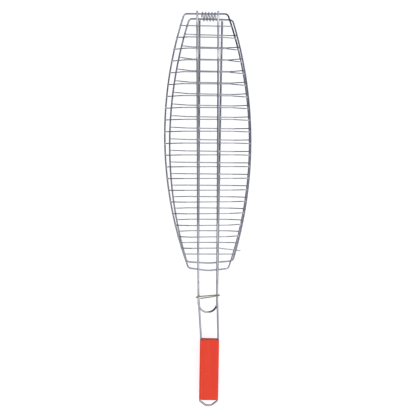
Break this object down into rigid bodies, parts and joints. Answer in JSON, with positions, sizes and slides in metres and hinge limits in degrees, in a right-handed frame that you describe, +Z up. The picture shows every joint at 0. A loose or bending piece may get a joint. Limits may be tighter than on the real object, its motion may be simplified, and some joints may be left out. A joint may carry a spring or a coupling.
{
  "type": "grill basket",
  "caption": "Long chrome-plated wire fish grill basket: two dished barred halves on a coil hinge, split lock ring, flat red wooden grip and hang loop.",
  "frame": {"origin": "under the middle of the closed basket, on the plane it lies on", "axes": "+Y along the length towards the hinge, +Z up through the lid, +X to the right seen from above with the hinge at the top"},
  "size_m": [0.1326, 0.6001, 0.0411],
  "materials": {
    "chrome_plated_wire": "polished",
    "yellow_zinc_wire": "satin",
    "painted_wood": "painted"
  },
  "bodies": {
    "base": {"base_rim_wire": "chrome_plated_wire", "base_handle_rod": "chrome_plated_wire", "base_cross_wire_01": "chrome_plated_wire", "base_cross_wire_02": "chrome_plated_wire", "base_cross_wire_03": "chrome_plated_wire", "base_cross_wire_04": "chrome_plated_wire", "base_cross_wire_05": "chrome_plated_wire", "base_cross_wire_06": "chrome_plated_wire", "base_cross_wire_07": "chrome_plated_wire", "base_cross_wire_08": "chrome_plated_wire", "base_cross_wire_09": "chrome_plated_wire", "base_cross_wire_10": "chrome_plated_wire", "base_cross_wire_11": "chrome_plated_wire", "base_cross_wire_12": "chrome_plated_wire", "base_cross_wire_13": "chrome_plated_wire", "base_cross_wire_14": "chrome_plated_wire", "base_cross_wire_15": "chrome_plated_wire", "base_cross_wire_16": "chrome_plated_wire", "base_cross_wire_17": "chrome_plated_wire", "base_cross_wire_18": "chrome_plated_wire", "base_cross_wire_19": "chrome_plated_wire", "base_cross_wire_20": "chrome_plated_wire", "wood_grip": "painted_wood"},
    "lid": {"lid_rim_wire": "chrome_plated_wire", "lid_handle_rod": "chrome_plated_wire", "lid_cross_wire_01": "chrome_plated_wire", "lid_cross_wire_02": "chrome_plated_wire", "lid_cross_wire_03": "chrome_plated_wire", "lid_cross_wire_04": "chrome_plated_wire", "lid_cross_wire_05": "chrome_plated_wire", "lid_cross_wire_06": "chrome_plated_wire", "lid_cross_wire_07": "chrome_plated_wire", "lid_cross_wire_08": "chrome_plated_wire", "lid_cross_wire_09": "chrome_plated_wire", "lid_cross_wire_10": "chrome_plated_wire", "lid_cross_wire_11": "chrome_plated_wire", "lid_cross_wire_12": "chrome_plated_wire", "lid_cross_wire_13": "chrome_plated_wire", "lid_cross_wire_14": "chrome_plated_wire", "lid_cross_wire_15": "chrome_plated_wire", "lid_cross_wire_16": "chrome_plated_wire", "lid_cross_wire_17": "chrome_plated_wire", "lid_cross_wire_18": "chrome_plated_wire", "lid_cross_wire_19": "chrome_plated_wire", "lid_cross_wire_20": "chrome_plated_wire"},
    "coil": {"hinge_coil": "chrome_plated_wire"},
    "ring": {"lock_ring": "yellow_zinc_wire"}
  },
  "joints": [
    {"name": "lid_hinge", "type": "hinge", "parent": "base", "child": "lid", "pos_m": [-0.00353, 0.29616, 0.02197], "axis": [-1, 0, 0], "range_deg": [0, 180]},
    {"name": "coil_turn", "type": "hinge", "parent": "base", "child": "coil", "pos_m": [0.00092, 0.2924, 0.02057], "axis": [0.9999, -0.0115, 0], "continuous": true},
    {"name": "ring_slide", "type": "slide", "parent": "base", "child": "ring", "axis": [0.03, -0.9995, 0], "range_m": [0, 0.057]}
  ]
}
